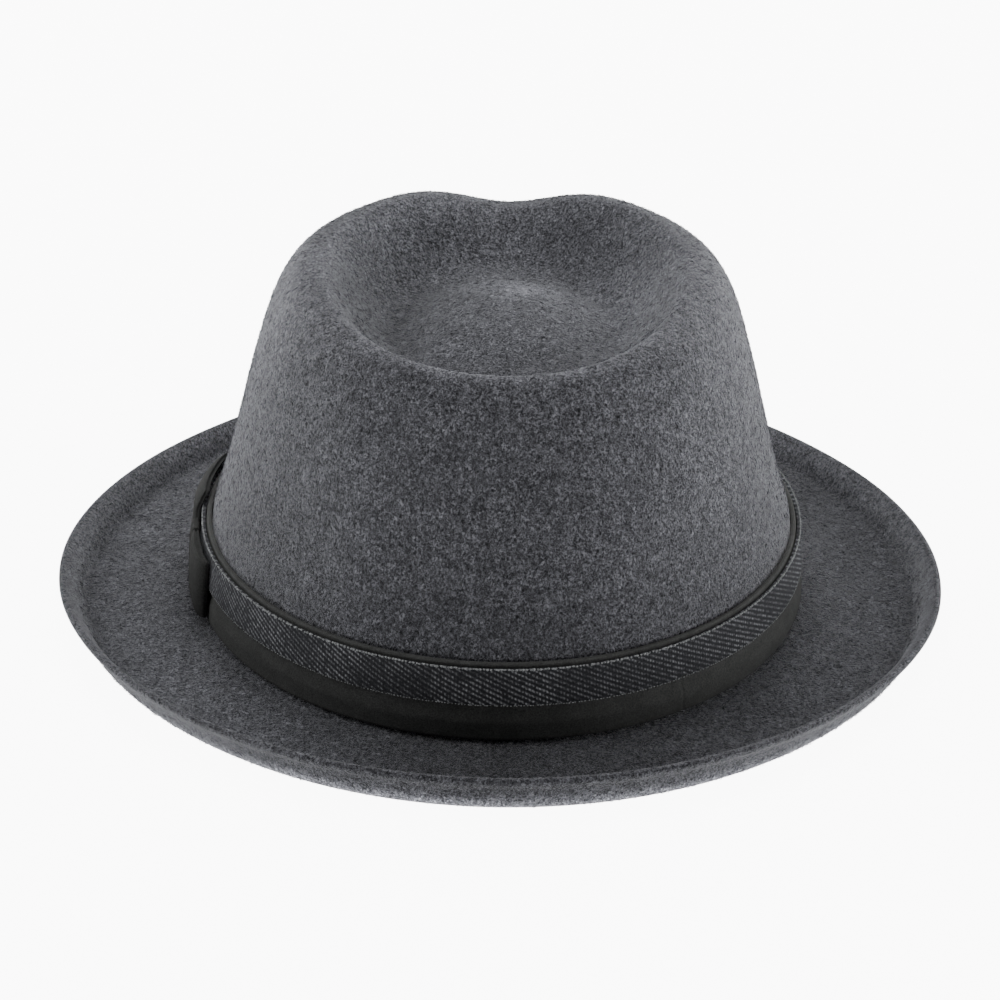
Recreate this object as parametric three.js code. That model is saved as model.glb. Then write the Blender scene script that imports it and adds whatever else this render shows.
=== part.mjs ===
// A trilby of pressed wool felt with a suede band, a denim strip and a small bow.
// Millimetres. +Y is the front of the hat, -X the wearer's left, +Z up, and the brim rests on z = 0.

import * as THREE from "three";

const FELT = 2.2; // thickness of the felt
const GAP = 0.3; // clearance between sewn pieces

// The crown, measured on its outside from the middle of the head opening
const HEAD_WIDTH = 169;
const HEAD_LENGTH = 198.5;
const CREST_WIDTH = 102;
const CREST_FRONT = 60;
const CREST_BACK = 68;
const CREST_FULL = 0.055; // swell of the crest's two back quarters

// Heights above the surface that the hat stands on
const CROWN_SIDE = 105;
const CROWN_FRONT = 104.5;
const CROWN_BACK = 98.5;
const HUMP_HEIGHT = 92.5;

// The teardrop dent in the tip, round its low hump
const DENT_SIDE = 21;
const DENT_FRONT = 19.5;
const DENT_BACK = 13;
const HUMP_AHEAD = -3;
const NOTCH_DROP = 6.5;
const NOTCH_SPREAD = THREE.MathUtils.degToRad(19);

// The two shallow pinches at the front of the crown
const PINCH_DEPTH = 5;
const PINCH_TURN = THREE.MathUtils.degToRad(42);
const PINCH_SPREAD = THREE.MathUtils.degToRad(17);
const PINCH_HEIGHT = 78;
const PINCH_REACH = 20;

// The brim, measured from the middle of the head opening
const BRIM_WIDTH = 254.6;
const BRIM_FRONT = 150;
const BRIM_BACK = 132.5;
const BRIM_RISE = 3.2;
const FILLET = 1;
const TRIM_FRONT = 0.034;
const TRIM_BACK = 0.009;

// The curl at the brim's edge
const CURL_SIDE = 9;
const CURL_FRONT = 6.5;
const CURL_BACK = 10;
const RUN_SIDE = 9;
const RUN_FRONT = 8;
const RUN_BACK = 5;

// The suede band and the denim strip sewn over it
const BAND_LOW = 5.8;
const BAND_TOP = 28.1;
const BAND_THICK = 1.5;
const BAND_SWELL = 1.2;
const DENIM_LOW = 16.6;
const DENIM_TOP = 26.9;
const DENIM_THICK = 1;

// The bow on the wearer's left: two flat loops drawn together by a knot
const BOW_FRONT = 38;
const BOW_REAR = 28;
const BOW_AHEAD = -7;
const BOW_LOW = 7.6;
const BOW_TOP = 25.2;
const BOW_WAIST = 1.1;
const BOW_OPEN = 2;
const BOW_LAYER = 1;
const KNOT_LENGTH = 11;
const KNOT_THICK = 0.8;

// How finely the pieces are faceted
const COLUMNS = 60;
const FACE_STEPS = 3;
const KNOT_STEPS = 4;

// The crown's wall, from the crest down to the brim.
// rise: share of the height from the brim to the crest
// round and back: share of the way in from the head opening to the crest, round the sides and front
// where the shoulder is soft, and at the back where it is sharp
const WALL = [
  { rise: 0.996, round: 0.9, back: 0.95 },
  { rise: 0.985, round: 0.8, back: 0.895 },
  { rise: 0.965, round: 0.72, back: 0.84 },
  { rise: 0.935, round: 0.65, back: 0.785 },
  { rise: 0.89, round: 0.58, back: 0.715 },
  { rise: 0.83, round: 0.515, back: 0.63 },
  { rise: 0.74, round: 0.44, back: 0.515 },
  { rise: 0.63, round: 0.355, back: 0.395 },
  { rise: 0.5, round: 0.262, back: 0.275 },
  { rise: 0.37, round: 0.162, back: 0.16 },
  { rise: 0.24, round: 0.047, back: 0.05 },
  { rise: 0.12, round: 0.012, back: 0.015 },
];

// The tip, from the hump out to the crest.
// reach: share of the way from the hump to the crest
// sink: share of the way down from the crest to the dent, and lift: share of the way up to the hump
const TIP = [
  { reach: 0.12, sink: 1, lift: 0.96 },
  { reach: 0.25, sink: 1, lift: 0.81 },
  { reach: 0.38, sink: 1, lift: 0.52 },
  { reach: 0.5, sink: 0.99, lift: 0.22 },
  { reach: 0.6, sink: 0.97, lift: 0.05 },
  { reach: 0.7, sink: 0.86, lift: 0 },
  { reach: 0.8, sink: 0.61, lift: 0 },
  { reach: 0.89, sink: 0.29, lift: 0 },
  { reach: 0.955, sink: 0.09, lift: 0 },
  { reach: 1, sink: 0, lift: 0 },
];

// The brim from the crown out to the foot of its curl.
// reach: share of the way out, and rise: share of the brim's rise towards the crown
const BRIM = [
  { reach: 0.03, rise: 0.97 },
  { reach: 0.25, rise: 0.66 },
  { reach: 0.5, rise: 0.28 },
  { reach: 0.72, rise: 0 },
  { reach: 1, rise: 0 },
];

// One loop of the bow, from the knot to its folded end.
// along: share of the loop's length, and open: share of the space inside the loop
const LOOP = [
  { along: 0.12, open: 0 },
  { along: 0.2, open: 0.12 },
  { along: 0.32, open: 0.36 },
  { along: 0.46, open: 0.68 },
  { along: 0.6, open: 0.9 },
  { along: 0.74, open: 1 },
  { along: 0.86, open: 0.9 },
  { along: 0.94, open: 0.58 },
  { along: 1, open: 0.15 },
];

// Steps of the curl, from its foot up to the edge
const CURL_TURNS = [22, 45, 68, 90].map(THREE.MathUtils.degToRad);

const BRIM_TOP = FELT + BRIM_RISE;
const CROWN_Y = (BRIM_BACK - BRIM_FRONT) / 2;

// A value that differs at the side, the front and the back, blended round the hat
function blend(angle, side, front, back) {
  const ahead = Math.sin(angle);
  const end = ahead > 0 ? front : back;
  return side * Math.cos(angle) ** 2 + end * ahead ** 2;
}

// A point of an oval with its own half width and its own lengths to the front and the back
function oval(angle, halfWidth, front, back) {
  const ahead = Math.sin(angle);
  return new THREE.Vector3(halfWidth * Math.cos(angle), (ahead > 0 ? front : back) * ahead, 0);
}

function bell(offset, spread) {
  return Math.exp(-((offset / spread) ** 2));
}

function headPoint(angle, out = 0) {
  return oval(angle, HEAD_WIDTH / 2 + out, HEAD_LENGTH / 2 + out, HEAD_LENGTH / 2 + out);
}

function crestPoint(angle) {
  const notch = NOTCH_DROP * bell(angle - Math.PI / 2, NOTCH_SPREAD);
  const height = blend(angle, CROWN_SIDE, CROWN_FRONT, CROWN_BACK) - notch;
  const full = blend(angle, 0, 0, CREST_FULL) * (2 * Math.cos(angle)) ** 2;
  return oval(angle, CREST_WIDTH / 2, CREST_FRONT, CREST_BACK).multiplyScalar(1 + full).setZ(height);
}

function insetOf(angle, row) {
  return blend(angle, row.round, row.round, row.back);
}

// A point of the crown's wall, pushed in where the front is pinched
function wallPoint(angle, row) {
  const point = headPoint(angle).setZ(BRIM_TOP);
  const crest = crestPoint(angle);
  const height = BRIM_TOP + (crest.z - BRIM_TOP) * row.rise;
  point.lerp(crest, insetOf(angle, row));
  const turn = Math.abs(angle - Math.PI / 2) - PINCH_TURN;
  const push = PINCH_DEPTH * bell(turn, PINCH_SPREAD) * bell(height - PINCH_HEIGHT, PINCH_REACH);
  point.setZ(0);
  point.setLength(point.length() - push);
  return point.setZ(height);
}

function tipPoint(angle, { reach, sink, lift }) {
  const crest = crestPoint(angle);
  const floor = blend(angle, CROWN_SIDE - DENT_SIDE, CROWN_FRONT - DENT_FRONT, CROWN_BACK - DENT_BACK);
  const bottom = THREE.MathUtils.lerp(crest.z, floor, sink);
  const hump = new THREE.Vector3(0, HUMP_AHEAD, 0);
  return hump.lerp(crest, reach).setZ(THREE.MathUtils.lerp(bottom, HUMP_HEIGHT, lift));
}

// A point of the brim's outline, drawn in by a distance
function brimPoint(angle, inset) {
  const trim = blend(angle, 0, TRIM_FRONT, TRIM_BACK) * (2 * Math.cos(angle)) ** 2;
  const point = oval(angle, BRIM_WIDTH / 2 - inset, BRIM_FRONT - inset, BRIM_BACK - inset);
  return point.multiplyScalar(1 - trim);
}

function curlPoint(angle, turn, layer) {
  const run = blend(angle, RUN_SIDE, RUN_FRONT, RUN_BACK);
  const height = blend(angle, CURL_SIDE, CURL_FRONT, CURL_BACK);
  const inset = run * (1 - Math.sin(turn)) + layer * Math.sin(turn);
  return brimPoint(angle, inset).setZ(height * (1 - Math.cos(turn)) + layer * Math.cos(turn));
}

function flatPoint(angle, { reach, rise }, layer) {
  const foot = curlPoint(angle, 0, layer);
  const start = headPoint(angle, FILLET);
  return start.lerp(foot, reach).setZ(BRIM_RISE * rise + layer);
}

// The felt's skin at one angle, from the hump to the edge: the part that is offset along its normals
function crownColumn(angle) {
  const hump = new THREE.Vector3(0, HUMP_AHEAD, HUMP_HEIGHT);
  const foot = headPoint(angle).setZ(BRIM_TOP + FILLET);
  const tip = TIP.map((row) => tipPoint(angle, row));
  const wall = WALL.map((row) => wallPoint(angle, row));
  return [hump, ...tip, ...wall, foot];
}

function brimColumn(angle, layer) {
  const flat = BRIM.map((row) => flatPoint(angle, row, layer));
  return [...flat, ...CURL_TURNS.map((turn) => curlPoint(angle, turn, layer))];
}

// The inner skin of the crown: each point moved in by the felt's thickness
function innerColumns(columns) {
  return columns.map((column, i) => {
    const before = columns[(i + COLUMNS - 1) % COLUMNS];
    const after = columns[(i + 1) % COLUMNS];
    return column.map((point, j) => {
      if (j === 0) return point.clone().setZ(point.z - FELT);
      const down = column[Math.min(j + 1, column.length - 1)].clone().sub(column[j - 1]);
      const round = after[j].clone().sub(before[j]);
      const normal = down.cross(round).normalize();
      return point.clone().addScaledVector(normal, -FELT);
    });
  });
}

function angleOf(column) {
  return ((column % COLUMNS) / COLUMNS) * Math.PI * 2;
}

// A lathe of one closed section whose vertices are then moved to the points of its columns
function latheThrough(columns, closed) {
  const count = columns[0].length + (closed ? 1 : 0);
  const section = Array.from({ length: count }, (unused, j) => new THREE.Vector2(1, j));
  const geometry = new THREE.LatheGeometry(section, COLUMNS);
  const place = geometry.attributes.position;
  for (let i = 0; i <= COLUMNS; i++) {
    const column = columns[i % COLUMNS];
    for (let j = 0; j < count; j++) {
      const point = column[(count - 1 - j) % column.length];
      place.setXYZ(i * count + j, point.x, point.y, point.z);
    }
  }
  geometry.computeVertexNormals();
  return geometry;
}

function feltGeometry() {
  const angles = Array.from({ length: COLUMNS }, (unused, i) => angleOf(i));
  const outer = angles.map(crownColumn);
  const inner = innerColumns(outer);
  const columns = angles.map((angle, i) => {
    const brimTop = brimColumn(angle, FELT);
    const brimUnder = brimColumn(angle, 0).reverse();
    const edge = curlPoint(angle, Math.PI / 2, FELT / 2);
    edge.z += FELT / 3;
    return [...outer[i], ...brimTop, edge, ...brimUnder, ...inner[i].reverse()];
  });
  return latheThrough(columns, false);
}

// The point of the crown's wall at one height, without its pinches
function wallAt(angle, height) {
  const rows = [...WALL, { rise: 0, round: 0, back: 0 }];
  const share = (height - BRIM_TOP) / (crestPoint(angle).z - BRIM_TOP);
  const low = rows.findIndex((row) => row.rise <= share);
  const below = rows[Math.max(low, 1)];
  const above = rows[Math.max(low, 1) - 1];
  const step = (share - below.rise) / (above.rise - below.rise);
  const inset = THREE.MathUtils.lerp(insetOf(angle, below), insetOf(angle, above), step);
  return headPoint(angle).lerp(crestPoint(angle), Math.max(inset, 0));
}

// A point that stands out from the crown's wall by a distance, at a height
function outFromWall(angle, out, height) {
  const point = wallAt(angle, Math.max(height, BRIM_TOP)).setZ(0);
  const away = new THREE.Vector3(point.x / HEAD_WIDTH ** 2, point.y / HEAD_LENGTH ** 2, 0);
  return point.addScaledVector(away.normalize(), out).setZ(height);
}

// A face that keeps one distance from the wall between two heights
function upright(out, from, to) {
  return Array.from({ length: FACE_STEPS + 1 }, (unused, i) => [out, from + ((to - from) * i) / FACE_STEPS]);
}

// A ring round the crown, from a section of distances out and heights
function ringGeometry(section) {
  const angles = Array.from({ length: COLUMNS }, (unused, i) => angleOf(i));
  const columns = angles.map((angle) => section.map(([out, up]) => outFromWall(angle, out, up)));
  return latheThrough(columns, true);
}

const BAND_INNER = GAP;
const BAND_OUTER = GAP + BAND_THICK;
const BAND_BELLY = BAND_OUTER + BAND_SWELL;
const DENIM_INNER = BAND_OUTER + GAP;
const DENIM_OUTER = DENIM_INNER + DENIM_THICK;

function bandGeometry() {
  const corner = BAND_THICK / 4;
  const belly = (DENIM_LOW + BAND_LOW) / 2;
  return ringGeometry([
    ...upright(BAND_INNER, BRIM_TOP + FILLET + GAP, BAND_TOP - corner),
    [BAND_INNER + corner, BAND_TOP],
    [BAND_OUTER - corner, BAND_TOP],
    ...upright(BAND_OUTER, BAND_TOP - corner, DENIM_LOW - GAP),
    [BAND_BELLY, belly],
    [BAND_BELLY, BAND_LOW + corner],
    [BAND_OUTER, BAND_LOW],
  ]);
}

function denimGeometry() {
  return ringGeometry([
    ...upright(DENIM_INNER, DENIM_LOW, DENIM_TOP),
    ...upright(DENIM_OUTER, DENIM_TOP, DENIM_LOW),
  ]);
}

const BOW_INNER = Math.max(DENIM_OUTER, BAND_BELLY) + GAP;
const BOW_OUTER = BOW_INNER + BOW_WAIST;

// A point in plan, out from the wearer's left side and along it from the knot
function planPoint(along, out) {
  const angle = Math.PI - (2 * (along + BOW_AHEAD)) / HEAD_LENGTH;
  const point = outFromWall(angle, out, BRIM_TOP + FILLET);
  return new THREE.Vector2(point.x, point.y);
}

// The bow in plan: both loops from one folded end to the other, with a slot inside each
function bowGeometry() {
  const wings = [...LOOP.map(({ along, open }) => ({ along: -along, open })).reverse(), ...LOOP];
  const lengthOf = (along) => along * (along < 0 ? BOW_REAR : BOW_FRONT);
  const seat = wings.map(({ along }) => planPoint(lengthOf(along), BOW_INNER));
  const face = wings.map(({ along, open }) => planPoint(lengthOf(along), BOW_OUTER + open * BOW_OPEN));
  const shape = new THREE.Shape([...seat, ...face.reverse()]);
  const slotOuter = BOW_OUTER - BOW_LAYER;
  for (const reach of [BOW_LAYER - BOW_REAR, BOW_FRONT - BOW_LAYER]) {
    const rows = LOOP.filter(({ open }) => BOW_WAIST + open * BOW_OPEN > 2 * BOW_LAYER);
    const near = rows.map(({ along }) => planPoint(along * reach, BOW_INNER + BOW_LAYER));
    const far = rows.map(({ along, open }) => planPoint(along * reach, slotOuter + open * BOW_OPEN));
    shape.holes.push(new THREE.Path([...near, ...far.reverse()]));
  }
  return new THREE.ExtrudeGeometry(shape, { depth: BOW_TOP - BOW_LOW, bevelEnabled: false, steps: 1 });
}

// The knot's wrap: over the top, down the face and under the bottom of the loop
function knotGeometry() {
  const low = BOW_LOW - GAP;
  const top = BOW_TOP + GAP;
  const face = BOW_OUTER + GAP;
  const section = [
    [BOW_INNER, top],
    [face, top],
    [face, low],
    [BOW_INNER, low],
    [BOW_INNER, low - KNOT_THICK],
    [face + KNOT_THICK, low - KNOT_THICK],
    [face + KNOT_THICK, top + KNOT_THICK],
    [BOW_INNER, top + KNOT_THICK],
  ];
  const outline = new THREE.Shape(section.map(([out, up]) => new THREE.Vector2(out, up)));
  const geometry = new THREE.ExtrudeGeometry(outline, { depth: 1, bevelEnabled: false, steps: KNOT_STEPS });
  const place = geometry.attributes.position;
  for (let i = 0; i < place.count; i++) {
    const plan = planPoint((place.getZ(i) - 0.5) * KNOT_LENGTH, place.getX(i));
    place.setXYZ(i, plan.x, plan.y, place.getY(i));
  }
  geometry.computeVertexNormals();
  return geometry;
}

const felt = new THREE.MeshStandardMaterial({ color: 0x55565a, roughness: 0.95, metalness: 0 });
const suede = new THREE.MeshStandardMaterial({ color: 0x151515, roughness: 0.9, metalness: 0 });
const denim = new THREE.MeshStandardMaterial({ color: 0x2a2b2e, roughness: 0.85, metalness: 0 });

function named(name, geometry, material, z = 0) {
  const mesh = new THREE.Mesh(geometry, material);
  mesh.name = name;
  mesh.position.z = z;
  return mesh;
}

const hat = new THREE.Group();
hat.position.y = CROWN_Y;
hat.add(named("felt_body", feltGeometry(), felt));
hat.add(named("hat_band", bandGeometry(), suede));
hat.add(named("denim_strip", denimGeometry(), denim));
hat.add(named("bow_loop", bowGeometry(), suede, BOW_LOW));
hat.add(named("bow_knot", knotGeometry(), suede));

export default hat;
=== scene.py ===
"""Looks of a felt trilby: brushed melange felt, a suede band, a denim strip and a small bow.

Sizes at the top are in millimetres and become metres where a mesh is made. +Y is the front of the hat,
-X is the wearer's left and the brim rests on z = 0.
"""
import math

import bpy
import numpy as np
from mathutils import Matrix, Vector


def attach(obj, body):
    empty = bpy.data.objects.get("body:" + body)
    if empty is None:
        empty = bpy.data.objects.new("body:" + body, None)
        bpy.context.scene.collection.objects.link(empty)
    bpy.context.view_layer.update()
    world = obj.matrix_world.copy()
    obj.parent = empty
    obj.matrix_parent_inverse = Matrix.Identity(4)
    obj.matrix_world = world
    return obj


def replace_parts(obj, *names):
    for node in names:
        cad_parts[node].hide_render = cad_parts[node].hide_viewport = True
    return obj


MM = 0.001

# The felt body, as the solids have it
FELT = 2.2
GAP = 0.3
HEAD_WIDTH = 169
HEAD_LENGTH = 198.5
CREST_WIDTH = 102
CREST_FRONT = 60
CREST_BACK = 68
CREST_FULL = 0.055
CROWN_SIDE = 105
CROWN_FRONT = 104.5
CROWN_BACK = 98.5
HUMP_HEIGHT = 92.5
DENT_SIDE = 21
DENT_FRONT = 19.5
DENT_BACK = 13
HUMP_AHEAD = -3
NOTCH_DROP = 6.5
NOTCH_SPREAD = math.radians(19)
PINCH_DEPTH = 5
PINCH_TURN = math.radians(42)
PINCH_SPREAD = math.radians(17)
PINCH_HEIGHT = 78
PINCH_REACH = 20
BRIM_WIDTH = 254.6
BRIM_FRONT = 150
BRIM_BACK = 132.5
BRIM_RISE = 3.2
FILLET = 1
TRIM_FRONT = 0.034
TRIM_BACK = 0.009
CURL_SIDE = 9
CURL_FRONT = 6.5
CURL_BACK = 10
RUN_SIDE = 9
RUN_FRONT = 8
RUN_BACK = 5
BRIM_TOP = FELT + BRIM_RISE
CROWN_Y = (BRIM_BACK - BRIM_FRONT) / 2
EDGE_DROP = 0.6 * FELT

# Columns: rise, inset round the sides and the front, inset at the back
WALL = np.array([
    (0.996, 0.9, 0.95), (0.985, 0.8, 0.895), (0.965, 0.72, 0.84), (0.935, 0.65, 0.785),
    (0.89, 0.58, 0.715), (0.83, 0.515, 0.63), (0.74, 0.44, 0.515), (0.63, 0.355, 0.395),
    (0.5, 0.262, 0.275), (0.37, 0.162, 0.16), (0.24, 0.047, 0.05), (0.12, 0.012, 0.015),
])
# Columns: reach from the hump to the crest, sink towards the dent's floor, lift towards the hump
TIP = np.array([
    (0.12, 1, 0.96), (0.25, 1, 0.81), (0.38, 1, 0.52), (0.5, 0.99, 0.22), (0.6, 0.97, 0.05),
    (0.7, 0.86, 0), (0.8, 0.61, 0), (0.89, 0.29, 0), (0.955, 0.09, 0), (1, 0, 0),
])
# Columns: reach from the crown to the curl, rise of the brim
BRIM = np.array([(0.03, 0.97), (0.25, 0.66), (0.5, 0.28), (0.72, 0), (1, 0)])
# Columns: share of the curl's run, share of its rise, slope in degrees
CURL = np.array([(0.22, 0.02, 16), (0.42, 0.16, 50), (0.62, 0.52, 60), (0.82, 0.84, 46), (1, 1, 28)])

# How light the felt is, row by row from the hump to the brim's edge, then underneath and inside, as painted light
# and shade. These and the patches paint highlights on the crest, the hump's brow and the rim, and painted shade on
# the brim and the wall's foot
PAINTED_LIGHT_TIP = [1.4, 1.4, 1.38, 1.32, 1.12, 1.0, 1.12, 1.2, 1.22, 1.26, 1.32]
PAINTED_LIGHT_WALL = [1.2, 1.2, 1.22, 1.22, 1.2, 1.18, 1.17, 1.16, 1.13, 1.06, 0.97, 0.86, 0.76]
PAINTED_LIGHT_TOP = [0.85, 0.85, 0.88, 0.9, 0.76, 0.62, 0.84, 1.05, 1.15, 1.1]
PAINTED_LIGHT_EDGE = 0.8
PAINTED_LIGHT_UNDER = [0.6, 0.6, 0.95, 2.5, 2.5, 1.2, 0.9, 0.9, 0.9, 0.9]
PAINTED_LIGHT_INSIDE = 0.9
# Patches of painted light (gain above 0) or painted shade (gain below 0). Columns: row and its spread, turn and its
# spread in degrees, gain
PAINTED_LIGHT_PATCHES = [
    (2.5, 1.9, 75, 35, 1.1), (3, 2, 165, 40, -0.15), (3, 2, 15, 40, 0.15), (8, 2.5, 135, 40, 0.6),
    (8, 2.5, 90, 30, 0.1), (6, 2, 10, 35, 0.35), (6, 2, 170, 35, -0.15), (10, 1.4, 270, 60, 0.5),
    (16, 6, 180, 20, 0.6), (16, 6, 0, 20, 0.45), (16, 6, 330, 25, 0.2), (26.5, 3.5, 225, 30, 0.6),
    (26, 3.5, 270, 25, -0.42), (26.5, 3.5, 350, 40, 0.3), (28, 3.5, 150, 30, 0.4),
    (38.4, 1, 270, 55, 1.4),
]

# The suede band, the denim strip and the bow. ROUND is the radius of a corner
BAND_LOW = 5.8
BAND_TOP = 28.1
BAND_THICK = 1.5
BAND_SWELL = 1.2
BAND_ROUND = 0.7
DENIM_LOW = 16.6
DENIM_TOP = 26.9
DENIM_THICK = 1
DENIM_ROUND = 0.3
BOW_FRONT = 38
BOW_REAR = 28
BOW_AHEAD = -7
BOW_LOW = 7.6
BOW_TOP = 25.2
# A loop's thickness at the knot and what it gains ahead, the groove between its layers, the points round it,
# how much higher the front and the rear loop stand, and the share of the length by which they have risen
BOW_THIN = 1.9
BOW_FULL = 1.2
BOW_GROOVE = 0.09
BOW_TURN = 36
BOW_RAISED = 5.5
BOW_LIFTED = 0.3
BOW_RISEN = 0.28
# How much the knot pulls in a loop's lower and upper edge, and how much these wave
PULL_LOW = 0.8
PULL_HIGH = 0.5
WAVE_LOW = 0.2
WAVE_HIGH = 0.25
# The shares of a loop's length where it starts and where its fold does, the share that the fold takes, and how
# far it trims the edges
LOOP_FROM = 0.03
FOLD = 0.78
FOLD_REACH = 0.2
FOLD_TRIM = 1.2
# How far a loop leans in over the band, the height where that starts and how soon it is full
LEAN = 3.0
LEAN_FROM = BAND_TOP - 1.6
LEAN_REACH = 5
# The knot: half width, half depth, how far it stands past the loops, its waist and its creases
KNOT_WIDE = 5.5
KNOT_DEEP = 1.3
KNOT_PROUD = 0.3
KNOT_WAIST = 0.04
KNOT_CREASE = 0.12
# The seam of the band: its turn, half width in radians and depth, and the notch it leaves in the denim
SEAM = math.radians(306)
SEAM_WIDE = 0.006
SEAM_DEEP = 0.14
NOTCH = 0.7
NOTCH_REACH = 3
# The denim's weave: pitches in metres
RIB_PITCH = 0.0015
WEFT_PITCH = 0.00095
# The denim's yarn ends: their count and size at each edge, how far they stray along it in spacings and
# across it, how their size varies, and their shape along, out and up
ENDS_TOP = (560, 0.3)
ENDS_LOW = (620, 0.17)
ENDS_ALONG = 0.25
ENDS_ACROSS = 0.08
ENDS_SIZE = (0.75, 1.25)
ENDS_SHAPE = (1.5, 0.9, 1)
BAND_OUTER = GAP + BAND_THICK
DENIM_INNER = BAND_OUTER + GAP
DENIM_OUTER = DENIM_INNER + DENIM_THICK
BOW_INNER = max(DENIM_OUTER, BAND_OUTER + BAND_SWELL) + GAP

# Points round the hat, and steps between two rows where it shows, round the edge and underneath
AROUND = 480
FINE = 4
EDGE = 3
COARSE = 2

# Unevenness of the felt: how far, over what length, and the height where it is full
UNEVEN = 0.45
UNEVEN_REACH = 55
UNEVEN_FROM = 20

# Loose fibres: how many, length and rise of their first half, mean and spread of the rise of the second,
# half width and how it varies, how bent and how pale they are, how deep they root, and how near the floor
# they reach
CROWN_FIBRES = 63000
BRIM_FIBRES = 45000
FIBRE_LENGTH = (0.5, 1.3)
FIBRE_RISE = (0.05, 0.22)
FIBRE_END = (0.02, 0.12)
FIBRE_WIDE = 0.055
FIBRE_SIZE = (0.6, 1.3)
FIBRE_BEND = 0.9
FIBRE_TONE = (0, 0.7)
FIBRE_ROOT = 0.08
FIBRE_FLOOR = 0.1

# The camera, in metres, degrees and pixels of a picture 1000 wide
EYE_AWAY = 1.3
EYE_RISE = 26.1
EYE_SWING = 0.55
EYE_ROLL = 1.03
EYE_TILT = 1.22
FOCAL = 4457
SENSOR = 36

# The floor's half width and depth in metres, the middle of the light, and how the floor and the room glow:
# all round, and how much more to the eye
FLOOR = 6
UNDER = 0.0003
LIT_POINT = (0, 0, 0.05)
FLOOR_GLOW = 0.8
FLOOR_SEEN = 8.5
ROOM_GLOW = 0.02
ROOM_SEEN = 9.5


def blend(angle, side, front, back):
    """side cos^2 + end sin^2, where end is front ahead of the middle and back behind it."""
    ahead = np.sin(angle)
    return side * np.cos(angle) ** 2 + np.where(ahead > 0, front, back) * ahead ** 2


def oval(angle, half_width, front, back):
    """x = half_width cos, y = (front or back) sin."""
    ahead = np.sin(angle)
    return half_width * np.cos(angle), np.where(ahead > 0, front, back) * ahead


def bell(offset, spread):
    """e to the power of -(offset / spread)^2."""
    return np.exp(-((offset / spread) ** 2))


def crest_oval(angle):
    """The crest's oval, its back quarters swollen by 1 + full (2 cos)^2."""
    full = 1 + blend(angle, 0, 0, CREST_FULL) * (2 * np.cos(angle)) ** 2
    x, y = oval(angle, CREST_WIDTH / 2, CREST_FRONT, CREST_BACK)
    return x * full, y * full


def crest_height(angle):
    """blend(side, front, back) less a bell-shaped notch at the front."""
    notch = NOTCH_DROP * bell(angle - math.pi / 2, NOTCH_SPREAD)
    return blend(angle, CROWN_SIDE, CROWN_FRONT, CROWN_BACK) - notch


def wall_at(angle, height):
    """The crown's wall at one height: head oval + inset (crest oval - head oval), inset from WALL."""
    share = (height - BRIM_TOP) / (crest_height(angle) - BRIM_TOP)
    rise = np.append(WALL[::-1, 0], 1)
    rise = np.insert(rise, 0, 0)
    soft = np.interp(share, rise, np.concatenate([[0], WALL[::-1, 1], [1]]))
    sharp = np.interp(share, rise, np.concatenate([[0], WALL[::-1, 2], [1]]))
    inset = blend(angle, soft, soft, sharp)
    hx, hy = oval(angle, HEAD_WIDTH / 2, HEAD_LENGTH / 2, HEAD_LENGTH / 2)
    cx, cy = crest_oval(angle)
    return hx + (cx - hx) * inset, hy + (cy - hy) * inset


def out_from_wall(angle, out, height):
    """wall_at + out n, with n the level normal of the head oval."""
    x, y = wall_at(angle, np.maximum(height, BRIM_TOP))
    nx, ny = x / HEAD_WIDTH ** 2, y / HEAD_LENGTH ** 2
    size = np.hypot(nx, ny)
    return np.stack(np.broadcast_arrays(x + out * nx / size, y + out * ny / size, height), -1)


def brim_at(angle, inset, height):
    """The brim's oval drawn in by inset, times 1 - trim (2 cos)^2."""
    trim = blend(angle, 0, TRIM_FRONT, TRIM_BACK) * (2 * np.cos(angle)) ** 2
    x, y = oval(angle, BRIM_WIDTH / 2 - inset, BRIM_FRONT - inset, BRIM_BACK - inset)
    return np.stack(np.broadcast_arrays(x * (1 - trim), y * (1 - trim), height), -1)


def curl_at(angle, out, up, slope, layer):
    """Inset run (1 - out) and height rise up, moved by layer along the normal of the slope in degrees."""
    run = blend(angle, RUN_SIDE, RUN_FRONT, RUN_BACK)
    rise = blend(angle, CURL_SIDE, CURL_FRONT, CURL_BACK) - EDGE_DROP
    slope = math.radians(slope)
    inset = run * (1 - out) + layer * math.sin(slope)
    return brim_at(angle, inset, rise * up + layer * math.cos(slope))


def crown_rows(angle):
    """Rows of the outer skin from the hump, over the crest and down the wall to the brim."""
    crest = crest_height(angle)
    cx, cy = crest_oval(angle)
    floor = blend(angle, CROWN_SIDE - DENT_SIDE, CROWN_FRONT - DENT_FRONT, CROWN_BACK - DENT_BACK)
    rows = [np.stack(np.broadcast_arrays(0 * angle, HUMP_AHEAD + 0 * angle, HUMP_HEIGHT + 0 * angle), -1)]
    for reach, sink, lift in TIP:
        bottom = crest + (floor - crest) * sink
        height = bottom + (HUMP_HEIGHT - bottom) * lift
        rows.append(np.stack([cx * reach, HUMP_AHEAD + (cy - HUMP_AHEAD) * reach, height], -1))
    for rise, _, _ in WALL:
        height = BRIM_TOP + (crest - BRIM_TOP) * rise
        x, y = wall_at(angle, height)
        turn = np.abs(angle - math.pi / 2) - PINCH_TURN
        push = PINCH_DEPTH * bell(turn, PINCH_SPREAD)
        push = push * bell(height - PINCH_HEIGHT, PINCH_REACH)
        keep = 1 - push / np.hypot(x, y)
        rows.append(np.stack([x * keep, y * keep, height], -1))
    x, y = oval(angle, HEAD_WIDTH / 2, HEAD_LENGTH / 2, HEAD_LENGTH / 2)
    rows.append(np.stack([x, y, BRIM_TOP + FILLET + 0 * angle], -1))
    return np.array(rows)


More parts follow.
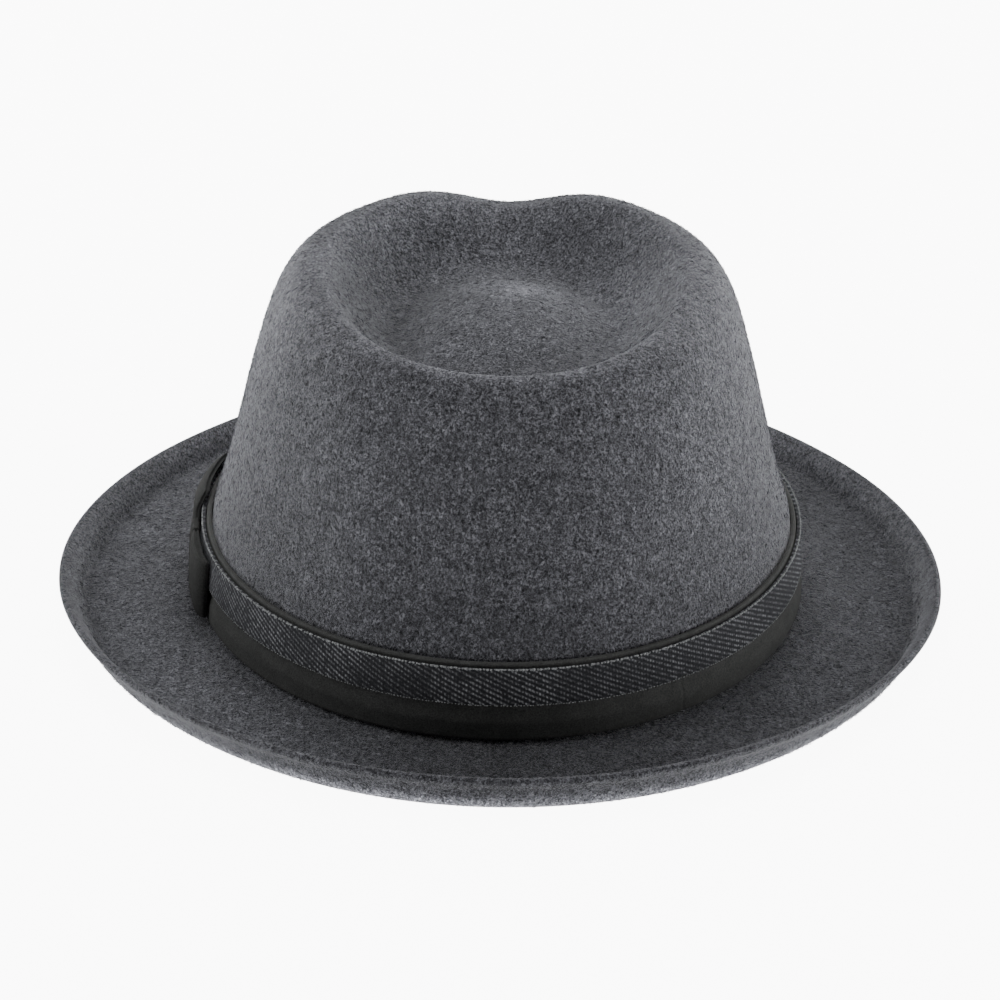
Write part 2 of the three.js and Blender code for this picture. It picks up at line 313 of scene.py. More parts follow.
def brim_rows(angle, layer):
    """Rows from the crown out to the curl and up to its edge, at one layer of the felt's thickness."""
    foot = curl_at(angle, 0, 0, 0, layer)
    x, y = oval(angle, HEAD_WIDTH / 2 + FILLET, HEAD_LENGTH / 2 + FILLET, HEAD_LENGTH / 2 + FILLET)
    start = np.stack([x, y, 0 * x], -1)
    rows = []
    for reach, rise in BRIM:
        row = start + (foot - start) * reach
        row[:, 2] = BRIM_RISE * rise + layer
        rows.append(row)
    return np.array(rows + [curl_at(angle, *row, layer) for row in CURL])


def felt_rows(angle):
    """The whole closed section: outer skin, edge, underside, and the inner skin FELT behind the outer."""
    outer = crown_rows(angle)
    down = np.gradient(outer, axis=0)
    around = np.roll(outer, -1, 1) - np.roll(outer, 1, 1)
    normal = np.cross(down, around)
    normal /= np.maximum(np.linalg.norm(normal, axis=-1, keepdims=True), 1e-9)
    inner = outer - FELT * normal
    inner[0] = outer[0] - (0, 0, FELT)
    edge = curl_at(angle, 1.05, 1.05, 0, FELT / 2)
    top, under = brim_rows(angle, FELT), brim_rows(angle, 0)
    return np.concatenate([outer, top, edge[None], under[::-1], inner[::-1]])


def smooth_rows(rows, steps):
    """Centripetal Catmull-Rom curve through the rows; steps holds the number of steps per span."""
    half = rows.shape[1] // 2
    ends = np.concatenate([np.roll(rows[1:2], half, 1), rows, np.roll(rows[-2:-1], half, 1)])
    knot = np.sqrt(np.maximum(np.linalg.norm(np.diff(ends, axis=0), axis=-1), 1e-4))[..., None]
    fine = []
    for i, count in enumerate(steps):
        p0, p1, p2, p3 = ends[i:i + 4]
        d0, d1, d2 = knot[i:i + 3]
        m1 = ((p1 - p0) / d0 - (p2 - p0) / (d0 + d1) + (p2 - p1) / d1) * d1
        m2 = ((p2 - p1) / d1 - (p3 - p1) / (d1 + d2) + (p3 - p2) / d2) * d1
        for t in np.arange(count) / count:
            a, b = 2 * t ** 3 - 3 * t ** 2 + 1, t ** 3 - 2 * t ** 2 + t
            c, d = -2 * t ** 3 + 3 * t ** 2, t ** 3 - t ** 2
            fine.append(a * p1 + b * m1 + c * p2 + d * m2)
    fine.append(rows[-1])
    return np.array(fine)


def ripple(points, reach, seed):
    """Gentle unevenness from -1 to 1: the mean of eight sine waves of about one length, reach in mm."""
    rng = np.random.default_rng(seed)
    wave = rng.normal(size=(8, 3))
    wave /= np.linalg.norm(wave, axis=1, keepdims=True)
    wave *= 2 * math.pi / reach * rng.uniform(0.6, 1.4, (8, 1))
    return np.sin(points @ wave.T + rng.uniform(0, 2 * math.pi, 8)).mean(-1)


def mesh_object(name, points, faces, material):
    """A new piece at the origin from points in mm and faces, riding on the root body."""
    mesh = bpy.data.meshes.new(name)
    mesh.from_pydata((points * MM).tolist(), [], faces)
    mesh.update()
    mesh.shade_smooth()
    piece = bpy.data.objects.new(name, mesh)
    bpy.context.scene.collection.objects.link(piece)
    mesh.materials.append(material)
    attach(piece, "root")
    return piece


def grid_faces(rows, columns, wrap_rows, wrap_columns, first=0):
    """Quads of a grid of rows x columns whose points are numbered row by row."""
    r = np.arange(rows if wrap_rows else rows - 1)[:, None]
    c = np.arange(columns if wrap_columns else columns - 1)[None]
    r2, c2 = (r + 1) % rows, (c + 1) % columns
    quads = np.stack([r * columns + c, r2 * columns + c, r2 * columns + c2, r * columns + c2], -1)
    return (quads.reshape(-1, 4) + first).tolist()


def set_uv(piece, u, v):
    """A UV map from one (u, v) per point."""
    index = np.zeros(len(piece.data.loops), int)
    piece.data.loops.foreach_get("vertex_index", index)
    layer = piece.data.uv_layers.new(name="strip")
    layer.data.foreach_set("uv", np.stack([u, v], -1)[index].astype(np.float32).ravel())


def set_tone(piece, values):
    """One number per point, for the material to read."""
    piece.data.attributes.new("tone", "FLOAT", "POINT").data.foreach_set("value", values.astype(np.float32))


def node(tree, kind, inputs=None, **settings):
    """A new shader node; an input is a socket to link from or a value."""
    made = tree.nodes.new("ShaderNode" + kind)
    for key, value in settings.items():
        setattr(made, key, value)
    for key, value in (inputs or {}).items():
        if isinstance(value, bpy.types.NodeSocket):
            tree.links.new(value, made.inputs[key])
        else:
            made.inputs[key].default_value = value
    return made


def math_node(tree, operation, a, b=0.0, c=0.0):
    """The result of one Math node."""
    return node(tree, "Math", {0: a, 1: b, 2: c}, operation=operation).outputs[0]


def ramp(tree, value, stops):
    """A colour ramp through (place, grey or colour) stops."""
    made = node(tree, "ValToRGB", {0: value})
    line = made.color_ramp
    while len(line.elements) < len(stops):
        line.elements.new(0.5)
    for element, (place, colour) in zip(line.elements, stops):
        element.position = place
        element.color = (*colour, 1) if isinstance(colour, tuple) else (colour, colour, colour, 1)
    return made.outputs[0]


def noise(tree, vector, scale, detail=2.0, roughness=0.5, distortion=0.0):
    """Blender's noise, from 0 to 1, scale features to the metre."""
    inputs = {"Vector": vector, "Scale": scale, "Detail": detail}
    inputs.update({"Roughness": roughness, "Distortion": distortion})
    return node(tree, "TexNoise", inputs).outputs[0]


def stretched(tree, vector, scale, shift=(0, 0, 0)):
    """The vector times scale, moved by shift."""
    return node(tree, "Mapping", {"Vector": vector, "Scale": scale, "Location": shift}).outputs[0]


def mix(tree, share, a, b, way="MIX"):
    """Two colours mixed or multiplied by share; each is a socket or a plain colour."""
    made = node(tree, "Mix", {0: share}, data_type="RGBA", blend_type=way)
    for socket, value in ((made.inputs[6], a), (made.inputs[7], b)):
        if isinstance(value, bpy.types.NodeSocket):
            tree.links.new(value, socket)
        else:
            socket.default_value = (*value, 1)
    return made.outputs[2]


def new_material(name, sheen, sheen_roughness, sheen_tint, roughness):
    """A matt cloth with the shader's own sheen."""
    material = bpy.data.materials.new(name)
    material.use_nodes = True
    tree = material.node_tree
    shader = tree.nodes["Principled BSDF"]
    shader.inputs["Roughness"].default_value = roughness
    shader.inputs["Specular IOR Level"].default_value = 0.15
    shader.inputs["Sheen Weight"].default_value = sheen
    shader.inputs["Sheen Roughness"].default_value = sheen_roughness
    shader.inputs["Sheen Tint"].default_value = (*sheen_tint, 1)
    return material, tree, shader


def felt_material():
    """Dark and light wool fibres mixed, in soft clumps, with a short brushed nap."""
    material, tree, shader = new_material("melange_felt", 0.9, 0.3, (0.94, 0.95, 1.0), 0.95)
    place = node(tree, "TexCoord").outputs["Object"]
    nap = stretched(tree, place, (1, 1, 0.8))
    grain = noise(tree, nap, 1650, 2, 0.6, 0.8)
    clump = noise(tree, nap, 450, 3, 0.6, 0.8)
    cloud = noise(tree, place, 60, 3, 0.55)
    fibre = noise(tree, stretched(tree, place, (1, 1, 0.7), (3, 1, 2)), 850, 2, 0.5, 2.2)
    pale = ramp(tree, fibre, [(0.455, 0.0), (0.5, 1.0), (0.545, 0.0)])
    hair = noise(tree, stretched(tree, place, (1, 1, 0.7), (7, 4, 1)), 780, 2, 0.5, 2.2)
    dark = ramp(tree, hair, [(0.45, 0.0), (0.5, 1.0), (0.55, 0.0)])
    greys = [(0.35, (0.010, 0.0105, 0.012)), (0.5, (0.066, 0.0665, 0.074)), (0.65, (0.235, 0.237, 0.262))]
    base = ramp(tree, grain, greys)
    soft = ramp(tree, clump, [(0.3, 0.45), (0.7, 1.6)])
    wide = ramp(tree, cloud, [(0.3, 0.88), (0.7, 1.12)])
    colour = mix(tree, 1.0, mix(tree, 1.0, base, soft, "MULTIPLY"), wide, "MULTIPLY")
    colour = mix(tree, math_node(tree, "MULTIPLY", pale, 0.6), colour, (0.30, 0.302, 0.335))
    colour = mix(tree, math_node(tree, "MULTIPLY", dark, 0.6), colour, (0.010, 0.0105, 0.012))
    # The tone attribute carries painted light and shade: highlights and shade multiplied into the felt's colour
    painted_light = node(tree, "Attribute", attribute_name="tone").outputs["Fac"]
    colour = mix(tree, 1.0, colour, painted_light, "MULTIPLY")
    tree.links.new(colour, shader.inputs["Base Color"])
    height = math_node(tree, "ADD", grain, math_node(tree, "MULTIPLY", pale, 0.5))
    height = math_node(tree, "ADD", height, clump)
    bump = node(tree, "Bump", {"Strength": 0.6, "Distance": 0.0005, "Height": height})
    tree.links.new(bump.outputs[0], shader.inputs["Normal"])
    return material


def nap_material():
    """Single wool fibres, from charcoal to pale grey by their tone: their own paleness times the felt's painted
    light and shade.
    """
    material, tree, shader = new_material("wool_fibres", 0.7, 0.3, (0.94, 0.95, 1.0), 0.95)
    tone = node(tree, "Attribute", attribute_name="tone").outputs["Fac"]
    stops = [(0.0, (0.024, 0.0243, 0.0265)), (0.5, (0.135, 0.136, 0.149)), (1.0, (0.46, 0.465, 0.51))]
    tree.links.new(ramp(tree, tone, stops), shader.inputs["Base Color"])
    return material


def suede_material(name, depth):
    """Black brushed suede with faint cloudy strokes in its nap, its colour times depth; a depth under 1 makes a
    copy painted darker as shade.
    """
    material, tree, shader = new_material(name, 0.06, 0.4, (0.75, 0.78, 0.75), 0.9)
    place = node(tree, "TexCoord").outputs["Object"]
    nap = noise(tree, place, 2600, 3, 0.6)
    stroke = noise(tree, stretched(tree, place, (1, 1, 1.6)), 130, 4, 0.6, 0.6)
    low, high = depth * np.array([(0.037, 0.038, 0.037), (0.097, 0.099, 0.096)])
    base = ramp(tree, nap, [(0.3, tuple(low)), (0.75, tuple(high))])
    colour = mix(tree, 1.0, base, ramp(tree, stroke, [(0.3, 0.85), (0.7, 1.15)]), "MULTIPLY")
    tree.links.new(colour, shader.inputs["Base Color"])
    bump = node(tree, "Bump", {"Strength": 0.35, "Distance": 0.00015, "Height": nap})
    tree.links.new(bump.outputs[0], shader.inputs["Normal"])
    return material


def denim_material():
    """Charcoal twill on the strip's own UV map, in metres along and up: diagonal ribs crossed by the weft."""
    material, tree, shader = new_material("charcoal_denim", 0.1, 0.5, (0.9, 0.92, 1), 0.85)
    flat = node(tree, "TexCoord").outputs["UV"]
    parts = node(tree, "SeparateXYZ", {0: flat})
    u, v = parts.outputs[0], parts.outputs[1]
    lean = math_node(tree, "MULTIPLY_ADD", u, 0.5, v)
    rib = math_node(tree, "SINE", math_node(tree, "MULTIPLY", lean, 2 * math.pi / RIB_PITCH))
    weft = math_node(tree, "SINE", math_node(tree, "MULTIPLY", u, 2 * math.pi / WEFT_PITCH))
    rib01 = math_node(tree, "MULTIPLY_ADD", rib, 0.5, 0.5)
    weft01 = math_node(tree, "MULTIPLY_ADD", weft, 0.5, 0.5)
    place = node(tree, "TexCoord").outputs["Object"]
    patch = noise(tree, place, 45, 3, 0.6)
    speck = noise(tree, place, 1900, 2, 0.6)
    gaps = ramp(tree, noise(tree, place, 800, 2, 0.6), [(0.4, 0.15), (0.55, 1.0)])
    crossed = math_node(tree, "MULTIPLY_ADD", weft01, 0.75, 0.25)
    dots = math_node(tree, "MULTIPLY", math_node(tree, "POWER", rib01, 2.0), crossed)
    dots = math_node(tree, "MULTIPLY", dots, gaps)
    worn = math_node(tree, "MULTIPLY", dots, ramp(tree, patch, [(0.38, 0.35), (0.62, 1.0)]))
    worn = math_node(tree, "MULTIPLY", worn, ramp(tree, speck, [(0.35, 0.45), (0.65, 1.25)]))
    base = ramp(tree, speck, [(0.3, (0.012, 0.0125, 0.014)), (0.7, (0.032, 0.033, 0.037))])
    colour = mix(tree, worn, base, (0.45, 0.46, 0.485))
    tree.links.new(colour, shader.inputs["Base Color"])
    height = math_node(tree, "ADD", dots, math_node(tree, "MULTIPLY", speck, 0.4))
    bump = node(tree, "Bump", {"Strength": 0.6, "Distance": 0.0003, "Height": height})
    tree.links.new(bump.outputs[0], shader.inputs["Normal"])
    return material


def thread_material():
    """Pale twisted cotton ends."""
    material, tree, shader = new_material("pale_thread", 0.2, 0.5, (1, 1, 1), 0.9)
    place = node(tree, "TexCoord").outputs["Object"]
    twist = noise(tree, place, 2400, 2, 0.6)
    colour = ramp(tree, twist, [(0.3, (0.12, 0.125, 0.13)), (0.7, (0.46, 0.475, 0.48))])
    tree.links.new(colour, shader.inputs["Base Color"])
    bump = node(tree, "Bump", {"Strength": 0.4, "Distance": 0.0001, "Height": twist})
    tree.links.new(bump.outputs[0], shader.inputs["Normal"])
    return material


def make_felt(material):
    """The felt body: smooth_rows through felt_rows on a full turn, with a gentle ripple along x, y and z.

    Its tone is the painted light and shade of the rows, between rows, times 1 + the sum of gain x bell x bell of
    the painted patches. What comes back is the crown's and the brim's outer skins, as grids of x, y, z and tone.
    """
    angle = np.arange(AROUND) / AROUND * 2 * math.pi
    rows = felt_rows(angle)
    outer = len(TIP) + len(WALL) + 1
    brim = len(BRIM) + len(CURL)
    steps = [FINE] * (outer + brim) + [EDGE, EDGE] + [COARSE] * (brim - 1) + [1] + [COARSE] * outer
    fine = smooth_rows(rows, steps)
    count = len(fine)
    points = np.concatenate([fine[0, :1], fine[1:-1].reshape(-1, 3), fine[-1, :1]]) + (0, CROWN_Y, 0)
    keep = UNEVEN * np.clip(points[:, 2:] / UNEVEN_FROM, 0, 1)
    points += keep * np.stack([ripple(points, UNEVEN_REACH, seed) for seed in (3, 5, 8)], -1)
    faces = grid_faces(count - 2, AROUND, False, True, 1)
    last = len(points) - 1
    start = last - AROUND
    faces += [[0, 1 + i, 1 + (i + 1) % AROUND] for i in range(AROUND)]
    faces += [[last, start + (i + 1) % AROUND, start + i] for i in range(AROUND)]
    piece = mesh_object("felt_hat", points, faces, material)
    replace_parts(piece, "felt_body")
    # Painted light and shade: a gain per row, then times the patches of painted light and shade
    painted_light = PAINTED_LIGHT_TIP + PAINTED_LIGHT_WALL + PAINTED_LIGHT_TOP + [PAINTED_LIGHT_EDGE] + PAINTED_LIGHT_UNDER
    painted_light = painted_light + [PAINTED_LIGHT_INSIDE] * (outer + 1)
    key_at = np.concatenate([[0], np.cumsum(steps)])
    light = np.interp(np.arange(count), key_at, painted_light)[:, None]
    row_at = np.interp(np.arange(count), key_at, np.arange(len(key_at)))[:, None]
    patches = np.ones((count, AROUND))
    for row, rows_wide, turn, turn_wide, gain in PAINTED_LIGHT_PATCHES:
        away = (angle - math.radians(turn) + math.pi) % (2 * math.pi) - math.pi
        patches += gain * bell(row_at - row, rows_wide) * bell(away, math.radians(turn_wide))
    light = light * patches
    set_tone(piece, np.concatenate([light[0, :1], light[1:-1].ravel(), light[-1, :1]]))
    grid = np.concatenate([points[1:last].reshape(count - 2, AROUND, 3), light[1:-1, :, None]], -1)
    foot = FINE * outer
    return grid[:foot], grid[foot:foot + FINE * brim + 2 * EDGE + COARSE * (len(CURL) - 1)]


def make_nap(name, skin, count, seed, material):
    """Short bent wool fibres strewn evenly by area over a grid of points and tones, the tones being the felt's
    painted light and shade.

    Each is a sliver: knee = root + length x direction + lift x normal, end = knee + length x a direction
    turned by bend + a little of the normal.
    """
    rng = np.random.default_rng(seed)
    a, b = skin[:-1, :, :3], skin[1:, :, :3]
    c, d = np.roll(b, -1, 1), np.roll(a, -1, 1)
    normal = np.cross(b - d, c - a).reshape(-1, 3)
    size = np.linalg.norm(normal, axis=1)
    clear = (a[..., 2].ravel() > BAND_TOP + 1.5) | (a[..., 2].ravel() < BRIM_TOP - 0.2)
    share = np.cumsum(size * clear)
    pick = np.searchsorted(share, rng.uniform(0, share[-1], count))
    normal = normal[pick] / size[pick, None]
    u, v = rng.uniform(0, 1, (2, count, 1))
    a, b, c, d = (corner.reshape(-1, 3)[pick] for corner in (a, b, c, d))
    root = (a * (1 - u) + d * u) * (1 - v) + (b * (1 - u) + c * u) * v
    side = np.cross(normal, (c - a))
    side /= np.linalg.norm(side, axis=1, keepdims=True)
    ahead = np.cross(side, normal)
    turn = rng.uniform(0, 2 * math.pi, (count, 1))
    bend = turn + rng.normal(0, FIBRE_BEND, (count, 1))
    length = rng.uniform(*FIBRE_LENGTH, (count, 1))
    lift = rng.uniform(*FIBRE_RISE, (count, 1))
    first = np.cos(turn) * ahead + np.sin(turn) * side
    second = np.cos(bend) * ahead + np.sin(bend) * side
    knee = root + length * first + lift * normal
    end = knee + length * second + rng.normal(*FIBRE_END, (count, 1)) * normal
    roll = rng.uniform(0, 2 * math.pi, (count, 1))
    wide = FIBRE_WIDE * rng.uniform(*FIBRE_SIZE, (count, 1))
    across = np.cos(roll) * np.cross(normal, first) + np.sin(roll) * normal
    spread = np.cos(roll) * np.cross(normal, second) + np.sin(roll) * normal
    base = root - FIBRE_ROOT * normal
    across, spread = wide * across, wide * spread
    points = np.stack([base - across, base + across, knee + spread, knee - spread, end], 1)
    start = np.arange(count)[:, None] * 5
    faces = (start + (0, 1, 2, 3)).tolist() + (start + (3, 2, 4)).tolist()
    points[..., 2] = np.maximum(points[..., 2], FIBRE_FLOOR)
    piece = mesh_object(name, points.reshape(-1, 3), faces, material)
    # A fibre's tone is its own random paleness times the painted light and shade of the felt at its root
    painted_light = skin[:-1, :, 3].ravel()[pick]
    set_tone(piece, np.repeat(rng.uniform(*FIBRE_TONE, count) * painted_light, 5))


def seamed_turn():
    """A full turn of angles, close together at the seam."""
    near = SEAM + np.linspace(-3, 3, 15) * SEAM_WIDE
    even = np.arange(AROUND) / AROUND * 2 * math.pi
    return np.sort(np.concatenate([even[np.abs(even - SEAM) > 3.2 * SEAM_WIDE], near]))


def ring(name, section, material):
    """A closed ring: out_from_wall round a full turn at each (out, height) of a section, the seam sunk in."""
    angle = seamed_turn()
    sunk = SEAM_DEEP * bell(angle - SEAM, SEAM_WIDE)
    out, up = np.array(section).T[..., None]
    points = out_from_wall(angle, np.where(out > GAP, out - sunk, out), up).reshape(-1, 3) + (0, CROWN_Y, 0)
    return mesh_object(name, points, grid_faces(len(section), len(angle), True, True), material)


def rounded(section, radius):
    """A closed section of (out, height) corners, each turned by (1 - t)^2 a + 2 t (1 - t) corner + t^2 b.

    a and b lie radius before and after the corner, or less where a side is short.
    """
    corners = np.array(section, float)
    made = []
    for i, corner in enumerate(corners):
        before, after = corners[i - 1], corners[(i + 1) % len(corners)]
        a = corner + (before - corner) * min(radius / np.linalg.norm(before - corner), 0.45)
        b = corner + (after - corner) * min(radius / np.linalg.norm(after - corner), 0.45)
        for t in np.linspace(0, 1, 5):
            made.append((1 - t) ** 2 * a + 2 * t * (1 - t) * corner + t ** 2 * b)
    return made


def refine(section, longest):
    """The closed section with points added, so that no side is longer than longest."""
    made = []
    for i, a in enumerate(section):
        b = section[(i + 1) % len(section)]
        count = max(1, math.ceil(np.linalg.norm(np.subtract(b, a)) / longest))
        made += [np.asarray(a) + (np.asarray(b) - a) * t for t in np.arange(count) / count]
    return made


def make_band(material):
    """The suede band: out_from_wall round a section that bellies out below the denim."""
    belly = (DENIM_LOW + BAND_LOW) / 2
    full = BAND_OUTER + BAND_SWELL
    section = [
        (GAP, BRIM_TOP + FILLET + GAP), (GAP, BAND_TOP), (BAND_OUTER, BAND_TOP),
        (BAND_OUTER, DENIM_LOW - GAP), (full, belly), (full, BAND_LOW + 0.6), (BAND_OUTER, BAND_LOW),
    ]
    piece = ring("suede_band", refine(rounded(section, BAND_ROUND), 1.5), material)
    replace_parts(piece, "hat_band")


def make_denim(material):
    """The denim strip: out_from_wall round a flat section, with a UV map in metres along it and up it."""
    section = [
        (DENIM_INNER, DENIM_LOW), (DENIM_INNER, DENIM_TOP),
        (DENIM_OUTER, DENIM_TOP), (DENIM_OUTER, DENIM_LOW),
    ]
    section = refine(rounded(section, DENIM_ROUND), 1.0)
    angle = seamed_turn()
    angle = np.append(angle, angle[0] + 2 * math.pi)
    columns = len(angle) - 1
    notch = NOTCH * bell(angle - SEAM, 2 * SEAM_WIDE)
    out, up = np.array(section).T[..., None]
    height = up + notch * np.maximum(0, 1 - (up - DENIM_LOW) / NOTCH_REACH)
    points = out_from_wall(angle, out, height).reshape(-1, 3) + (0, CROWN_Y, 0)
    faces = grid_faces(len(section), columns + 1, True, False)
    piece = mesh_object("denim_band", points, faces, material)
    middle = out_from_wall(angle, DENIM_OUTER, (DENIM_LOW + DENIM_TOP) / 2)
    along = np.concatenate([[0], np.cumsum(np.linalg.norm(np.diff(middle, axis=0), axis=1))]) * MM
    set_uv(piece, np.tile(along, len(section)), np.repeat(up * MM, columns + 1))
    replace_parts(piece, "denim_strip")


def make_threads(material):
    """Short pale yarn ends along both cut edges of the denim: middle + scale x unit ball, a little uneven."""
    rng = np.random.default_rng(12)
    lat = np.linspace(0, math.pi, 5)[:, None]
    lon = np.arange(6) / 6 * 2 * math.pi
    ball = [np.sin(lat) * np.cos(lon), np.sin(lat) * np.sin(lon), np.cos(lat)]
    ball = np.stack(np.broadcast_arrays(*ball), -1).reshape(-1, 3)
    one = np.array(grid_faces(len(lat), len(lon), False, True))[:, ::-1]
    points = []
    for height, (count, size) in ((DENIM_TOP, ENDS_TOP), (DENIM_LOW, ENDS_LOW)):
        angle = (np.arange(count) + rng.uniform(-ENDS_ALONG, ENDS_ALONG, count)) / count * 2 * math.pi
        height = height + rng.uniform(-ENDS_ACROSS, ENDS_ACROSS, count)
        middle = out_from_wall(angle, DENIM_OUTER - 0.05, height)
        ahead = np.roll(middle, -1, 0) - middle
        ahead /= np.linalg.norm(ahead, axis=1, keepdims=True)
        side = np.cross(ahead, (0, 0, 1.0))
        side /= np.linalg.norm(side, axis=1, keepdims=True)
        scale = size * rng.uniform(*ENDS_SIZE, (count, 3)) * ENDS_SHAPE
        axes = np.stack([ahead, side, np.broadcast_to((0, 0, 1.0), side.shape)], 1)
        points.append((middle[:, None] + (ball * scale[:, None]) @ axes).reshape(-1, 3))
    points = np.concatenate(points) + (0, CROWN_Y, 0)
    starts = np.arange(0, len(points), len(ball))
    faces = (one + starts[:, None, None]).reshape(-1, 4).tolist()
    mesh_object("denim_edge_threads", points, faces, material)


def plan_at(along, out, height):
    """out_from_wall on the wearer's left, along in mm ahead of the knot."""
    return out_from_wall(math.pi - 2 * (along + BOW_AHEAD) / HEAD_LENGTH, out, height)


def squared(value, power):
    """sign(value) |value|^power, which squares off a circle when the power is under 1."""
    return np.sign(value) * np.abs(value) ** power


def make_loop(name, length, raised, material):
    """A ribbon folded flat: out = thick (1 + through) / 2, height = middle + across x half the width.

    thick swells from the knot and rounds off at the fold, through and across square off a circle, a groove
    parts the two layers, and what stands above the band leans in over it.
    """
    bent = np.sin(np.linspace(0, math.pi / 2, 17)[1:])
    reach = np.concatenate([np.linspace(LOOP_FROM, FOLD, 38), FOLD + FOLD_REACH * bent])
    fold = 0.25 + 0.75 * np.sqrt(1 - np.clip((reach - FOLD) / FOLD_REACH, 0, 1) ** 2)
    thick = (BOW_THIN + BOW_FULL * np.sin(math.pi / 2 * np.clip(reach / 0.6, 0, 1))) * fold
    wave = np.sin(2.2 * math.pi * reach + np.sign(length))
    low = BOW_LOW + PULL_LOW * (1 - reach) + 0.3 * raised * reach - 0.3 * reach ** 3 + WAVE_LOW * wave
    early = np.clip(reach / BOW_RISEN, 0, 1)
    high = BOW_TOP - PULL_HIGH * (1 - reach) + raised * early * early * (3 - 2 * early) + WAVE_HIGH * wave
    high -= FOLD_TRIM * (1 - fold) ** 2
    low += FOLD_TRIM * (1 - fold) ** 2
    middle = BOW_INNER + 0.05 + thick / 2
    turn = np.arange(BOW_TURN)[:, None] / BOW_TURN * 2 * math.pi
    through = squared(np.sin(turn), 0.6)
    across = squared(np.cos(turn), 0.4) * (1 - BOW_GROOVE * bell(through, 0.2))
    height = (high + low) / 2 + across * (high - low) / 2
    lean = LEAN * np.clip((height - LEAN_FROM) / LEAN_REACH, 0, 1) ** 1.2
    points = plan_at(reach * length, middle + through * thick / 2 - lean, height)
    points = points.reshape(-1, 3) + (0, CROWN_Y, 0)
    faces = grid_faces(BOW_TURN, len(reach), True, False)
    starts = np.arange(BOW_TURN) * len(reach)
    faces += [starts[::-1].tolist(), (starts + len(reach) - 1).tolist()]
    if length > 0:
        faces = [face[::-1] for face in faces]
    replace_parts(mesh_object(name, points, faces, material), "bow_loop")


def make_bow(material):
    """Two folded loops and the knot round their middle, a flat tube.

    Along w from -1 to 1 its section is a squared-off circle, half the width x (1 - waist (1 - w^2)) high.
    """
    make_loop("bow_loop_front", BOW_FRONT, BOW_RAISED, material)
    make_loop("bow_loop_rear", -BOW_REAR, BOW_LIFTED, material)
    turn = np.linspace(0, 2 * math.pi, 48)[:-1]
    w = np.linspace(-1, 1, 14)[:, None]
    middle = (BOW_LOW + BOW_TOP) / 2
    half = ((BOW_TOP - BOW_LOW) / 2 + KNOT_PROUD) * (1 - KNOT_WAIST * (1 - w ** 2))
    out = BOW_INNER + KNOT_DEEP + (KNOT_DEEP - 0.2 * w ** 4) * squared(np.cos(turn), 0.6)
    out = np.maximum(out + KNOT_CREASE * np.sin(9 * w + 1.5 * np.sin(turn)), BOW_INNER)
    points = plan_at(KNOT_WIDE * w, out, middle + half * squared(np.sin(turn), 0.35))
    rows, columns = points.shape[:2]
    faces = grid_faces(rows, columns, False, True)
    faces += [list(range(columns)), list(range((rows - 1) * columns, rows * columns))[::-1]]
    faces = [face[::-1] for face in faces]
    knot = mesh_object("bow_knot_wrap", points.reshape(-1, 3) + (0, CROWN_Y, 0), faces, material)
    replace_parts(knot, "bow_knot")


def make_floor():
    """A wide white sheet just under the brim, glowing more to the camera than to the hat so that it stays white."""
    mesh = bpy.data.meshes.new("floor")
    corners = [(x * FLOOR, y * FLOOR, -UNDER) for x, y in ((-1, -1), (1, -1), (1, 1), (-1, 1))]
    mesh.from_pydata(corners, [], [(0, 1, 2, 3)])
    floor = bpy.data.objects.new("floor", mesh)
    bpy.context.scene.collection.objects.link(floor)
    material = bpy.data.materials.new("pale_floor")
    material.use_nodes = True
    shader = material.node_tree.nodes["Principled BSDF"]
    shader.inputs["Base Color"].default_value = (0.9, 0.9, 0.9, 1)
    shader.inputs["Roughness"].default_value = 0.9
    shader.inputs["Specular IOR Level"].default_value = 0
    shader.inputs["Emission Color"].default_value = (1, 1, 1, 1)
    seen = node(material.node_tree, "LightPath").outputs["Is Camera Ray"]
    glow = math_node(material.node_tree, "MULTIPLY_ADD", seen, FLOOR_SEEN, FLOOR_GLOW)
    material.node_tree.links.new(glow, shader.inputs["Emission Strength"])
    mesh.materials.append(material)


def make_light(name, place, size, power):
    """A soft rectangular light turned to the hat's middle."""
    data = bpy.data.lights.new(name, "AREA")
    data.shape = "RECTANGLE"
    data.size, data.size_y = size
    data.energy = power
    light = bpy.data.objects.new(name, data)
    light.location = place
    light.rotation_euler = (Vector(LIT_POINT) - Vector(place)).to_track_quat("-Z", "Y").to_euler()
    bpy.context.scene.collection.objects.link(light)


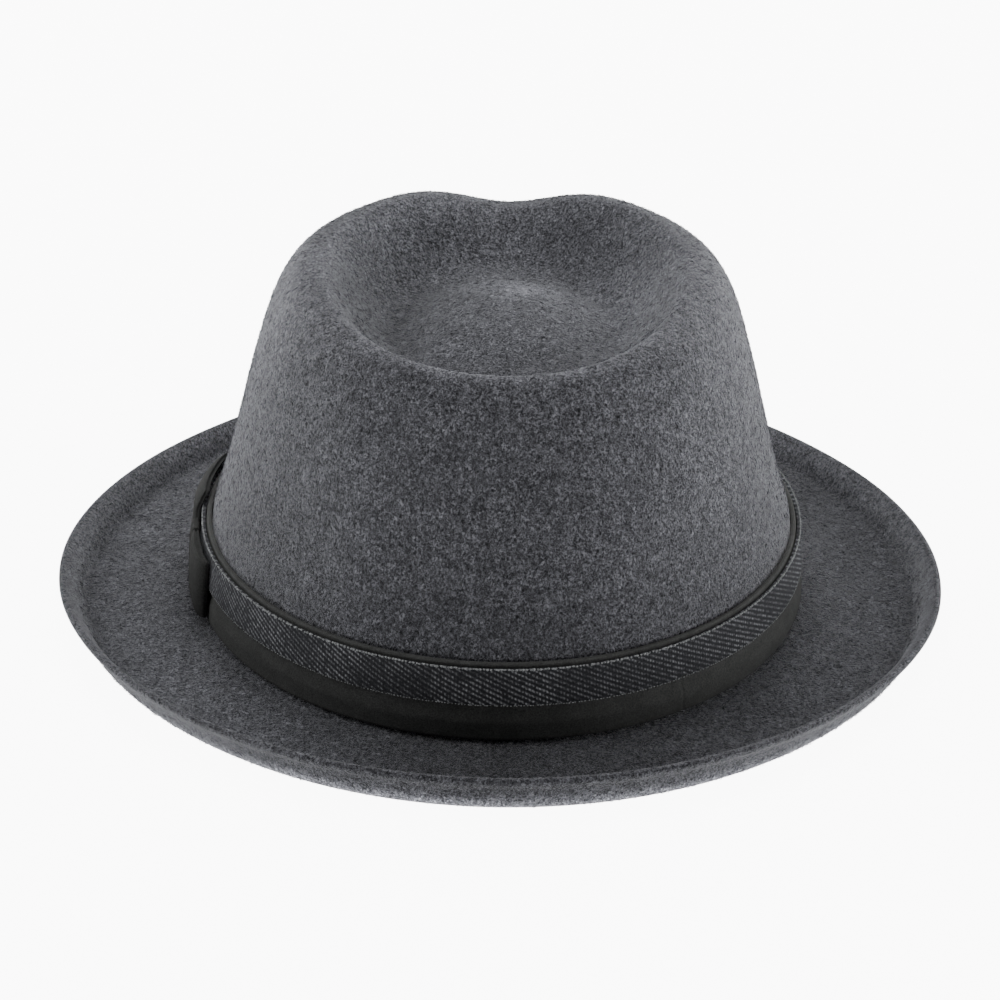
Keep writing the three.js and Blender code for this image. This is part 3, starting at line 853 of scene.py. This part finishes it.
def make_lights():
    """Soft boxes above and beyond the hat, and high and low on both sides, in a white room."""
    world = bpy.data.worlds.new("studio")
    world.use_nodes = True
    seen = node(world.node_tree, "LightPath").outputs["Is Camera Ray"]
    strength = math_node(world.node_tree, "MULTIPLY_ADD", seen, ROOM_SEEN, ROOM_GLOW)
    world.node_tree.links.new(strength, world.node_tree.nodes["Background"].inputs[1])
    world.node_tree.nodes["Background"].inputs[0].default_value = (1, 1, 1, 1)
    bpy.context.scene.world = world
    make_light("top_light", (0, 0, 1.4), (0.9, 0.9), 5)
    make_light("far_light", (0, 0.9, 1.1), (0.9, 0.9), 15)
    make_light("left_light", (-0.95, 0, 1.0), (0.9, 0.9), 6.5)
    make_light("right_light", (0.95, 0, 1.0), (0.9, 0.9), 1.5)
    make_light("left_low_light", (-1.35, 0, 0.2), (0.9, 0.4), 3)
    make_light("right_low_light", (1.35, 0, 0.2), (0.9, 0.4), 9)


def turned(a, b, angle):
    """a cos + b sin and b cos - a sin."""
    return a * math.cos(angle) + b * math.sin(angle), b * math.cos(angle) - a * math.sin(angle)


def make_camera():
    """The eye EYE_AWAY from the crown's foot, EYE_RISE up, EYE_SWING to the right, rolled and tilted."""
    rise, swing, roll, tilt = np.radians([EYE_RISE, EYE_SWING, EYE_ROLL, EYE_TILT])
    aim = np.array([0, CROWN_Y * MM, 0])
    level = np.array([math.sin(swing), -math.cos(swing), 0])
    back = math.cos(rise) * level + (0, 0, math.sin(rise))
    right = np.array([math.cos(swing), math.sin(swing), 0])
    up = np.cross(back, right)
    right, up = turned(right, up, roll)
    eye = aim + EYE_AWAY * back
    up, back = turned(up, back, tilt)
    data = bpy.data.cameras.new("camera")
    data.sensor_width = SENSOR
    data.lens = FOCAL * SENSOR / 1000
    data.clip_start, data.clip_end = 0.05, 50
    camera = bpy.data.objects.new("camera", data)
    camera.matrix_world = Matrix(np.vstack([np.stack([right, up, back, eye], 1), (0, 0, 0, 1)]).tolist())
    bpy.context.scene.collection.objects.link(camera)
    bpy.context.scene.camera = camera


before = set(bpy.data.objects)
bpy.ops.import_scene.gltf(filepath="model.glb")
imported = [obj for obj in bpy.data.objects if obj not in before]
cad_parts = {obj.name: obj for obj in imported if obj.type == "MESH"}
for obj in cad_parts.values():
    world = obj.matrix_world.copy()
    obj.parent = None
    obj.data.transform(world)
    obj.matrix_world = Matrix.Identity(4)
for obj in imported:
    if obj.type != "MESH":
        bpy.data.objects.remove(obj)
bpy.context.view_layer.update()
make_camera()
make_lights()
make_floor()
suede = suede_material("black_suede", 1.0)
crown_skin, brim_skin = make_felt(felt_material())
fibres = nap_material()
make_nap("crown_nap", crown_skin, CROWN_FIBRES, 21, fibres)
make_nap("brim_nap", brim_skin, BRIM_FIBRES, 22, fibres)
make_band(suede)
make_denim(denim_material())
make_threads(thread_material())
# The bow's suede is the band's suede at half its colour: painted shade
make_bow(suede_material("shaded_bow_suede", 0.5))
